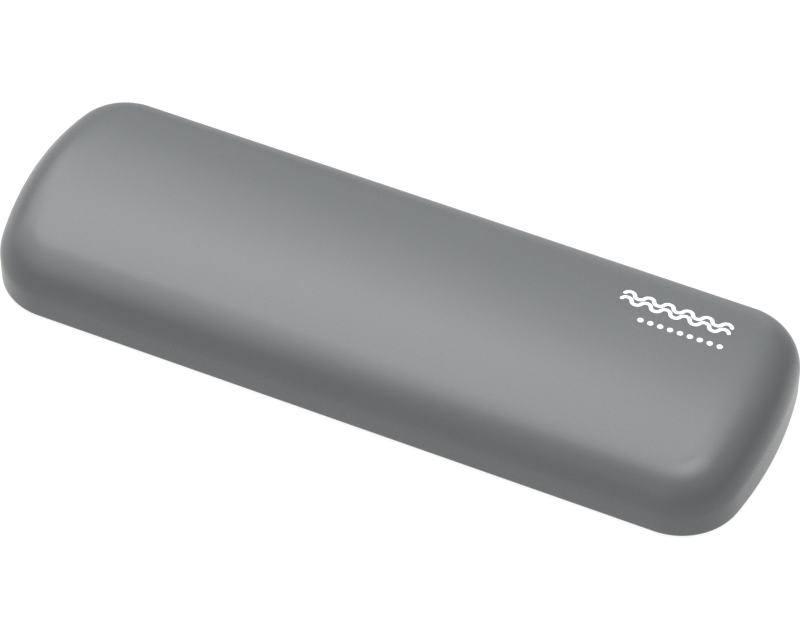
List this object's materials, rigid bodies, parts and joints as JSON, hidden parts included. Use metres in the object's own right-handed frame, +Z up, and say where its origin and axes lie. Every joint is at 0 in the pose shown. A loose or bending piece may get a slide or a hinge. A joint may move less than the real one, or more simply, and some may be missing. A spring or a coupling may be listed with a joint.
{
  "type": "wrist rest",
  "caption": "Low elongated cushion with an arched top, rounded edges and bowed ends, that supports the wrists in front of a keyboard.",
  "frame": {"origin": "centre of the footprint, on the surface that the object rests on", "axes": "+X along the length, +Y away from the user towards the keyboard, +Z up"},
  "size_m": [0.25, 0.0828, 0.0273],
  "materials": {
    "cover_skin": "satin",
    "comfort_foam": "matte",
    "support_foam": "matte",
    "bond_film": "matte",
    "board": "matte",
    "adhesive_pad": "matte",
    "base_rubber": "matte",
    "print_white": "satin"
  },
  "bodies": {
    "root": {"cover": "cover_skin", "comfort_foam": "comfort_foam", "foam_bond_film": "bond_film", "support_foam": "support_foam", "board_bond_film": "bond_film", "stiffener_board": "board", "hem_glue_band": "bond_film", "base_adhesive_pad": "adhesive_pad", "nonskid_base": "base_rubber", "printed_mark": "print_white"}
  },
  "joints": []
}
